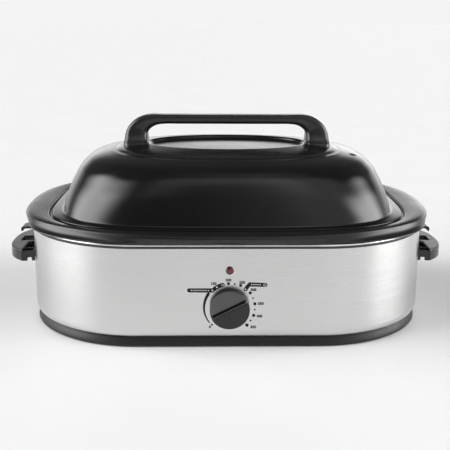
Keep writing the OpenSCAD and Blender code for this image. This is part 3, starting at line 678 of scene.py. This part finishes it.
def build_lid():
    t = 1.2
    inner = [
        (96, 55, 2.1, 224.2 - t, 0), (106, 64, 2.1, 224.6 - t, 0), (109.5, 67, 2.1, 227.4 - t, 0),
        (122, 80, 2.15, 226.9 - t, 0), (144.6, 105.4, 2.3, 223.8 - t, 0),
        (150, 110.8, 2.34, 222.9 - t, 0), (154.4, 115, 2.37, 221.2 - t, 0), (158.6, 118.8, 2.42, 220.5 - t, 0),
        (164.6, 123.7, 2.47, 219.5 - t, 0), (172.6, 129.3, 2.55, 217.7 - t, 0),
        (181, 135.7, 2.62, 215.1 - t, 0), (189, 141.5, 2.7, 211.6 - t, 0),
        (195.6, 146.6, 2.78, 206.2 - t, 0), (201.1, 151, 2.85, 200.8 - t, 0),
        (207.8, 156.8, 3, 189.6 - t, 0), (213.1, 161.6, 3.17, 178.2 - t, 0),
        (217.2, 165.6, 3.32, 166.8 - t, 0), (220.1, 168, 3.47, 156.8 - t, 0),
        (221.8, 169.5, 3.53, 150.2 - t, 0), (223.4, 170.8, 3.56, 147.2 - t, 0),
        (236.2, 174.6, 3.55, 145.4 - t, 1), (236.9, 175.3, 3.55, 142.2, 1)]
    rings = spline(inner, 4.0) + spline(LID_OUT, 1.6)
    me = shell("lid_dome", rings, 224.4 - t, 224.4)
    finish_mesh("lid_dome", me, M["lid"], "lid", ("lid_shell",), None)


def lid_z(x, y):
    """Height of the lid's outer face over a plan point, from its rings."""
    th = math.atan2(y, x)
    d = math.hypot(x, y)
    prev = None
    for (a, b, n, z) in LID_RINGS:
        q = sup_r(th, a, b, n)
        if prev and (prev[0] - d) * (q - d) <= 0 and z > 150:
            u = (d - prev[0]) / (q - prev[0] or 1e-9)
            return prev[1] + (z - prev[1]) * u
        prev = (q, z)
    return 224.3


LID_RINGS = spline(LID_OUT, 1.6)
build_pan()
build_lid()


def build_vent():
    """Small pressed crescent louvre over the steam hole."""
    cx, cy, half, deep, h = 172.0, -45.5, 5.4, 2.6, 1.3
    nu, nv = 28, 12
    v, f = [], []
    for j in range(nv + 1):
        for i in range(nu + 1):
            u = -1 + 2 * i / nu
            w = j / nv
            x = cx + half * u * 1.02
            bow = 2.3 * (1 - u * u)
            y = cy - bow + w * deep * (1 - u * u) ** 0.5
            k = (1 - u * u) ** 0.6 * math.sin(math.pi * min(1, w * 0.96 + 0.04)) ** 0.7
            v.append((x, y, lid_z(x, y) + 0.02 + h * k))
    top = len(v)
    for j in range(nv + 1):
        for i in range(nu + 1):
            x, y, z = v[j * (nu + 1) + i]
            v.append((x, y, lid_z(x, y) - 0.3))

    def i_(j, i, o=0):
        return o + j * (nu + 1) + i

    for j in range(nv):
        for i in range(nu):
            f.append((i_(j, i), i_(j, i + 1), i_(j + 1, i + 1), i_(j + 1, i)))
            f.append((i_(j, i, top), i_(j + 1, i, top), i_(j + 1, i + 1, top), i_(j, i + 1, top)))
    for i in range(nu):
        f.append((i_(0, i, top), i_(0, i + 1, top), i_(0, i + 1), i_(0, i)))
        f.append((i_(nv, i), i_(nv, i + 1), i_(nv, i + 1, top), i_(nv, i, top)))
    for j in range(nv):
        f.append((i_(j, 0), i_(j + 1, 0), i_(j + 1, 0, top), i_(j, 0, top)))
        f.append((i_(j, nu, top), i_(j + 1, nu, top), i_(j + 1, nu), i_(j, nu)))
    me = from_lists("vent_louvre", v, f)
    bm = bmesh.new()
    bm.from_mesh(me)
    bmesh.ops.remove_doubles(bm, verts=bm.verts, dist=1e-5)
    bm.to_mesh(me)
    bm.free()
    finish_mesh("vent_louvre", me, M["lid"], "lid", (), 60)


build_vent()


# ---- lid handle -----------------------------------------------------------------

def build_lid_handle():
    hx = 143.5
    hp = [
        (hx - 16.4, 225.4, -8, 36.4, 52.5, 0),
        (hx - 16.4, 228.6, -4, 35.6, 50, 0),
        (hx - 16.5, 231.6, -0.5, 33.9, 43.5, 0),
        (hx - 16.6, 235, 0, 33, 38, 0),
        (hx - 17, 241, 2, 31.5, 32, 0),
        (hx - 19, 247, 14, 29, 29, 0),
        (hx - 24.2, 253, 34, 25, 28, 0),
        (hx - 32.5, 258, 56, 20.5, 27, 0),
        (hx - 43.5, 260.8, 76, 15.5, 27, 0),
        (hx - 56, 261.4, 88, 13.2, 27, 0),
        (hx - 80, 261.4, 90, 13, 27, 0),
        (hx - 112, 261.4, 90, 13, 27, 0),
        (0, 261.4, 90, 13, 27, 0)]
    half = spline([(p[0], p[1], 0.0, p[2], p[3], p[4], p[5]) for p in hp], 2.4)
    path = [(p[0], p[1], p[3], p[4], p[5]) for p in half]
    path += [(-p[0], p[1], 180 - p[2], p[3], p[4]) for p in reversed(path[:-1])]
    hs, n = 56, 4.2
    v, f = [], []
    for (x, z, inc, th, dp) in path:
        c, s = math.cos(math.radians(inc)), math.sin(math.radians(inc))
        for k in range(hs):
            a = 2 * math.pi * k / hs
            q = sup_r(a, th / 2, dp / 2, n)
            u, y = q * math.cos(a), q * math.sin(a)
            v.append((x + u * c, y, z + u * s))
    m = len(path)
    for i in range(m - 1):
        for k in range(hs):
            k2 = (k + 1) % hs
            f.append((i * hs + k, (i + 1) * hs + k, (i + 1) * hs + k2, i * hs + k2))
    f.append(tuple(range(hs)))
    f.append(tuple((m - 1) * hs + k for k in reversed(range(hs))))
    me = from_lists("lid_handle_bar", v, f)
    # the feet follow the lid: nothing reaches below its surface
    bm = bmesh.new()
    bm.from_mesh(me)
    for sgn in (1, -1):
        sl = math.radians(7.8)
        no = Vector((sgn * math.sin(sl), 0, math.cos(sl)))
        geom = [g for g in bm.verts[:] + bm.edges[:] + bm.faces[:]
                if all((x.co.x * sgn) > 0.09 for x in ([g] if isinstance(g, bmesh.types.BMVert) else g.verts))]
        res = bmesh.ops.bisect_plane(bm, geom=geom, dist=1e-7, plane_co=Vector((sgn * 0.107, 0, 0.23045)),
                                     plane_no=no, clear_inner=True)
        edges = [e for e in res["geom_cut"] if isinstance(e, bmesh.types.BMEdge)]
        rim = {w for e in edges for w in e.verts}
        bmesh.ops.contextual_create(bm, geom=edges)
        for w in rim:
            w.co.z = max(lid_z(w.co.x / MM, w.co.y / MM), 226.0 if abs(w.co.x) < 0.113 else 0) * MM + 0.00004
    bmesh.ops.recalc_face_normals(bm, faces=bm.faces)
    bm.to_mesh(me)
    bm.free()
    finish_mesh("lid_handle_bar", me, M["handle"], "lid", ("lid_handle",), 50)


build_lid_handle()


# ---- side handles, knob, lens, gland -----------------------------------------------

soften("side_handle_right", "grip_right", 0.0007, 5, M["side"], "housing")
soften("side_handle_left", "grip_left", 0.0007, 5, M["side"], "housing")
soften("knob", "control_knob", 0.0003, 3, M["knob"], "knob")


def build_flank_painted_shade():
    """Thin black strip on the upper flank of the knob's ridge: painted shade, a dark sheet where the flank lies
    only in shade.
    """
    a, l, y0 = math.radians(26.7), 11.4, -200.6
    d, nn = (2.6 / 3.82, -2.8 / 3.82), (2.8 / 3.82, 2.6 / 3.82)
    p1 = (1.7 + 0.35 * d[0], l + 0.35 * d[1])
    p2 = (4.3 - 0.1 * d[0], l - 2.8 - 0.1 * d[1])
    quad = [(p[0] + nn[0] * o, p[1] + nn[1] * o) for p, o in ((p1, 0.07), (p2, 0.07), (p2, -0.25), (p1, -0.25))]
    verts = [(u * math.cos(a) - v * math.sin(a), y0 - z, KNOB_Z + u * math.sin(a) + v * math.cos(a))
             for u in (-21.8, 21.8) for v, z in quad]
    faces = [(0, 1, 2, 3), (7, 6, 5, 4)] + [(i, 4 + i, 4 + (i + 1) % 4, (i + 1) % 4) for i in range(4)]
    # the strip is painted shade standing in for the flank's shadow
    finish_mesh("knob_flank_painted_shade", from_lists("knob_flank_painted_shade", verts, faces), M["slot"], "knob", (), None,
                smooth=False)


KNOB_Z = 52.5
build_flank_painted_shade()
me = lathe("lamp_lens", [(0, -7), (3.8, -7), (3.9, -6.9), (3.9, 0), (5, 0), (5.05, 0.2), (5.0, 0.9), (4.75, 1.45),
                         (4.3, 1.9), (3.6, 2.3), (2.7, 2.6), (1.8, 2.78), (0.9, 2.87), (0, 2.9)],
           origin=(0, -197.1, 100))
finish_mesh("lamp_lens", me, M["lens"], "housing", ("indicator_lens",), 50)


# ---- dial print ----------------------------------------------------------------------

FACE = -B - 0.02
KZ = 52.5


def stamp(name, outline, mat, depth=0.05, holes=()):
    """A thin flat print on the steel: outline is [(x, z)] in mm."""
    y0, y1 = FACE, FACE - depth
    bm = bmesh.new()
    fr = [bm.verts.new((x * MM, y1 * MM, z * MM)) for x, z in outline]
    bk = [bm.verts.new((x * MM, y0 * MM, z * MM)) for x, z in outline]
    bm.faces.new(fr)
    bm.faces.new(list(reversed(bk)))
    n = len(fr)
    for i in range(n):
        j = (i + 1) % n
        bm.faces.new((fr[i], bk[i], bk[j], fr[j]))
    bmesh.ops.recalc_face_normals(bm, faces=bm.faces)
    bmesh.ops.triangulate(bm, faces=[x for x in bm.faces if len(x.verts) > 4])
    me = bpy.data.meshes.new(name)
    bm.to_mesh(me)
    bm.free()
    return finish_mesh(name, me, mat, "housing", (), None, smooth=False)


def disc(x, z, r, n=28):
    return [(x + r * math.cos(2 * math.pi * k / n), z + r * math.sin(2 * math.pi * k / n)) for k in range(n)]


def stroke(pts, w0, w1=None, cap=10):
    """Outline of a line with round ends along pts, from width w0 to w1."""
    w1 = w0 if w1 is None else w1
    L, Rr = [], []
    n = len(pts)
    for i, (x, z) in enumerate(pts):
        a = pts[max(0, i - 1)]
        b = pts[min(n - 1, i + 1)]
        d = math.hypot(b[0] - a[0], b[1] - a[1]) or 1
        nx, nz = -(b[1] - a[1]) / d, (b[0] - a[0]) / d
        w = (w0 + (w1 - w0) * i / (n - 1)) / 2
        if 0 < i < n - 1:
            p, q = pts[i - 1], pts[i + 1]
            t1 = math.atan2(z - p[1], x - p[0])
            t2 = math.atan2(q[1] - z, q[0] - x)
            w /= max(0.6, math.cos((t2 - t1) / 2))
        L.append((x + nx * w, z + nz * w))
        Rr.append((x - nx * w, z - nz * w))

    def ends(c, frm, w):
        a0 = math.atan2(frm[1] - c[1], frm[0] - c[0])
        return [(c[0] + w / 2 * math.cos(a0 - math.pi * k / cap), c[1] + w / 2 * math.sin(a0 - math.pi * k / cap))
                for k in range(1, cap)]

    return L + ends(pts[-1], L[-1], w1) + list(reversed(Rr)) + ends(pts[0], Rr[0], w0)


def polar(r, deg):
    return (r * math.cos(math.radians(deg)), KZ + r * math.sin(math.radians(deg)))


def build_dial():
    rd = 31.0
    for i, (deg, rad) in enumerate([(93, 1.35), (78.9, 0.75), (64.8, 1.45), (36.7, 1.45), (22.8, 0.75), (8.8, 1.5),
                                    (-5, 0.75), (-19, 1.5), (-33, 0.85), (-46.7, 1.6), (225.6, 0.95)]):
        x, z = polar(rd if rad < 1.4 else rd + 0.4, deg)
        stamp(f"dial_dot_{i:02d}", disc(x, z, rad * 1.22 + 0.16), M["ink"])
    arc = [polar(31.4, 146 + (218 - 146) * k / 40) for k in range(41)]
    stamp("dial_low_arc", stroke(arc, 3.8, 1.3), M["ink"])
    p = [polar(30.6, d) for d in (133.8, 127, 120.7, 113.5, 106.7)]
    stamp("dial_left_bar", stroke([(-49.5, p[0][1] + 0.2), p[0]] + p[1:], 5.2), M["ink"])
    q0 = polar(30.5, 50.6)
    elbow = (24.0, KZ + 29.8)
    stamp("dial_right_bar", stroke([q0, elbow, (43.6, KZ + 29.1)], 5.0), M["ink"])
    lift = 0.05
    global FACE
    FACE -= lift
    for i, (x, z) in enumerate([p[0], p[2], q0]):
        stamp(f"dial_window_{i}", disc(x, z, 1.0), M["ink_light"])
    for i, (x, z, r) in enumerate([(p[4][0], p[4][1], 1.5), (42.8, KZ + 29.1, 1.7)]):
        ring(f"dial_ring_{i}", x, z, r, 0.45)
    for i in range(9):
        x = -47.3 + 2.6 * i
        z = p[0][1] + 0.2 - 0.015 * i
        stamp(f"dial_left_dash_{i:02d}", [(x, z - 0.65), (x + 1.3, z - 0.65), (x + 1.3, z + 0.65), (x, z + 0.65)],
              M["ink_light"])
    for i in range(5):
        x = 26.2 + 2.6 * i
        z = KZ + 29.7 - 0.07 * i
        stamp(f"dial_right_dash_{i:02d}", [(x, z - 0.65), (x + 1.3, z - 0.65), (x + 1.3, z + 0.65), (x, z + 0.65)],
              M["ink_light"])
    FACE += lift
    for word, x, z in [("150", -19.8, KZ + 30.6), ("200", -1.6, KZ + 35.2), ("250", 15.2, KZ + 32.2),
                       ("300", 29.0, KZ + 22.8), ("350", 38.2, KZ + 4.9), ("400", 36.9, KZ - 11.4),
                       ("450", 29.2, KZ - 25.5), ("0", -24.2, KZ - 25.3)]:
        cu = bpy.data.curves.new("dial_" + word, "FONT")
        cu.body = word
        cu.size = 4.6 * MM
        cu.align_x, cu.align_y = "CENTER", "CENTER"
        cu.extrude = 0.03 * MM
        cu.offset = 0.25 * MM
        cu.space_character = 1.04
        ob = bpy.data.objects.new("dial_" + word, cu)
        cu.materials.append(M["ink"])
        scene.collection.objects.link(ob)
        ob.rotation_euler = (math.pi / 2, 0, 0)
        ob.location = (x * MM, (FACE - 0.04) * MM, z * MM)
        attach(ob, "housing")


def ring(name, x, z, r, w):
    """A thin flat ring of light print."""
    bm = bmesh.new()
    n = 28
    rows = []
    for (rad, y) in ((r, FACE - 0.05), (r - w, FACE - 0.05), (r - w, FACE), (r, FACE)):
        rows.append([bm.verts.new(((x + rad * math.cos(2 * math.pi * k / n)) * MM, y * MM,
                                   (z + rad * math.sin(2 * math.pi * k / n)) * MM)) for k in range(n)])
    for i in range(4):
        for k in range(n):
            bm.faces.new((rows[i][k], rows[(i + 1) % 4][k], rows[(i + 1) % 4][(k + 1) % n], rows[i][(k + 1) % n]))
    bmesh.ops.recalc_face_normals(bm, faces=bm.faces)
    me = bpy.data.meshes.new(name)
    bm.to_mesh(me)
    bm.free()
    finish_mesh(name, me, M["ink_light"], "housing", (), None, smooth=False)


build_dial()


# ---- carried-over nodes -----------------------------------------------------------------

KEEP = {
    "bottom_plate": "plate", "rubber_feet": "rubber", "foot_screws": "zinc", "centre_stud": "zinc",
    "liner_well": "well", "insulation": "wool", "heater_ribbons": "ribbon", "heater_clips": "mica",
    "thermostat_bracket": "plate", "thermostat_body": "steatite", "lamp_holder": "moulding",
    "handle_backing_plates": "plate", "handle_screws": "zinc", "cord_gland": "moulding",
    "terminal_block": "steatite", "wiring": "lead", "thermal_fuse": "steatite",
    "thermostat_shaft": "zinc", "knob_clip": "zinc", "rack_grid": "rack", "rack_handles": "rack",
    "lid_screws": "zinc", "lid_washers": "zinc",
}
for node, key in KEEP.items():
    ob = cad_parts[node]
    if not ob.material_slots:
        ob.data.materials.append(M[key])
    for s in ob.material_slots:
        s.material = M[key]


# ---- floor and light ------------------------------------------------------------------------

def build_stage():
    me = bpy.data.meshes.new("floor")
    n, w = 48, 90.0
    v, f = [], []
    for j in range(n + 1):
        for i in range(n + 1):
            v.append(((i / n - 0.5) * 2 * w, (j / n - 0.5) * 2 * w, -0.0002))
    for j in range(n):
        for i in range(n):
            a = j * (n + 1) + i
            f.append((a, a + 1, a + n + 2, a + n + 1))
    me.from_pydata(v, [], f)
    m = Mat("floor_pale", Specular_IOR_Level=0.2)
    a = m.noise(m.coords("Object"), 6.0, 3, 0.5)
    m.to(Base_Color=m.mix(m.ramp(a, 0, 1), (0.87, 0.87, 0.87), (0.89, 0.89, 0.89)), Roughness=m.ramp(a, 0.6, 0.75))
    me.materials.append(m.m)
    ob = bpy.data.objects.new("floor", me)
    scene.collection.objects.link(ob)


def build_light():
    """Soft studio: a big diffused box on each side, a dim room in front, a pale
    sweep low behind. All of it is on the world, so it has no hard edges."""
    w = bpy.data.worlds.new("studio")
    scene.world = w
    w.use_nodes = True
    t = w.node_tree
    t.nodes.clear()

    def node(kind, **k):
        x = t.nodes.new(kind)
        for a, v in k.items():
            setattr(x, a, v)
        return x

    def mth(op, a, b=None):
        x = node("ShaderNodeMath", operation=op)
        for i, v in enumerate((a, b)):
            if v is None:
                continue
            if isinstance(v, (int, float)):
                x.inputs[i].default_value = v
            else:
                t.links.new(v, x.inputs[i])
        return x.outputs[0]

    def step(v, a, b):
        x = node("ShaderNodeMapRange", interpolation_type="SMOOTHSTEP")
        x.inputs["From Min"].default_value = a
        x.inputs["From Max"].default_value = b
        t.links.new(v, x.inputs["Value"])
        return x.outputs[0]

    def win(v, a0, a1, b1, b0):
        return mth("MULTIPLY", step(v, a0, a1), mth("SUBTRACT", 1.0, step(v, b1, b0)))

    tc = node("ShaderNodeTexCoord")
    sp = node("ShaderNodeSeparateXYZ")
    t.links.new(tc.outputs["Generated"], sp.inputs[0])
    x, y, z = sp.outputs
    az = mth("MULTIPLY", mth("ARCTAN2", x, mth("MULTIPLY", y, -1.0)), 57.29578)
    aaz = mth("ABSOLUTE", az)
    el = mth("MULTIPLY", mth("ARCSINE", z), 57.29578)
    total = None
    for amp, wa, we in ROOM:
        u = win(aaz if wa[0] == "abs" else az, *wa[-4:])
        term = mth("MULTIPLY", mth("MULTIPLY", u, win(el, *we)), amp)
        total = term if total is None else mth("ADD", total, term)
    total = mth("ADD", total, ROOM_BASE)
    lp = node("ShaderNodeLightPath")
    mx = node("ShaderNodeMix", data_type="FLOAT")
    t.links.new(lp.outputs["Is Camera Ray"], mx.inputs[0])
    t.links.new(total, mx.inputs[2])
    mx.inputs[3].default_value = BACKDROP
    bg = node("ShaderNodeBackground")
    t.links.new(mx.outputs[0], bg.inputs["Strength"])
    out = node("ShaderNodeOutputWorld")
    t.links.new(bg.outputs[0], out.inputs[0])


# strength, azimuth window (0 towards the camera, 90 to the right), elevation window
ROOM_BASE = 0.15
BACKDROP = 1.13
ROOM = [
    (7.8, (-128, -98, -72, -42), (-6, 12, 38, 56)),
    (8.8, (52, 76, 96, 122), (-8, 6, 24, 44)),
    (0.65, (-5, 25, 60, 90), (-10, 5, 60, 80)),
    (0.65, (-45, -20, 25, 50), (38, 48, 62, 74)),
    (0.85, ("abs", 120, 150, 200, 220), (-25, -10, 14, 18.5)),
    (0.9, ("abs", 130, 155, 200, 220), (-3, 2, 8, 12)),
    (0.7, (105, 130, 160, 185), (-10, 0, 14, 18.5)),
]


build_stage()
build_light()
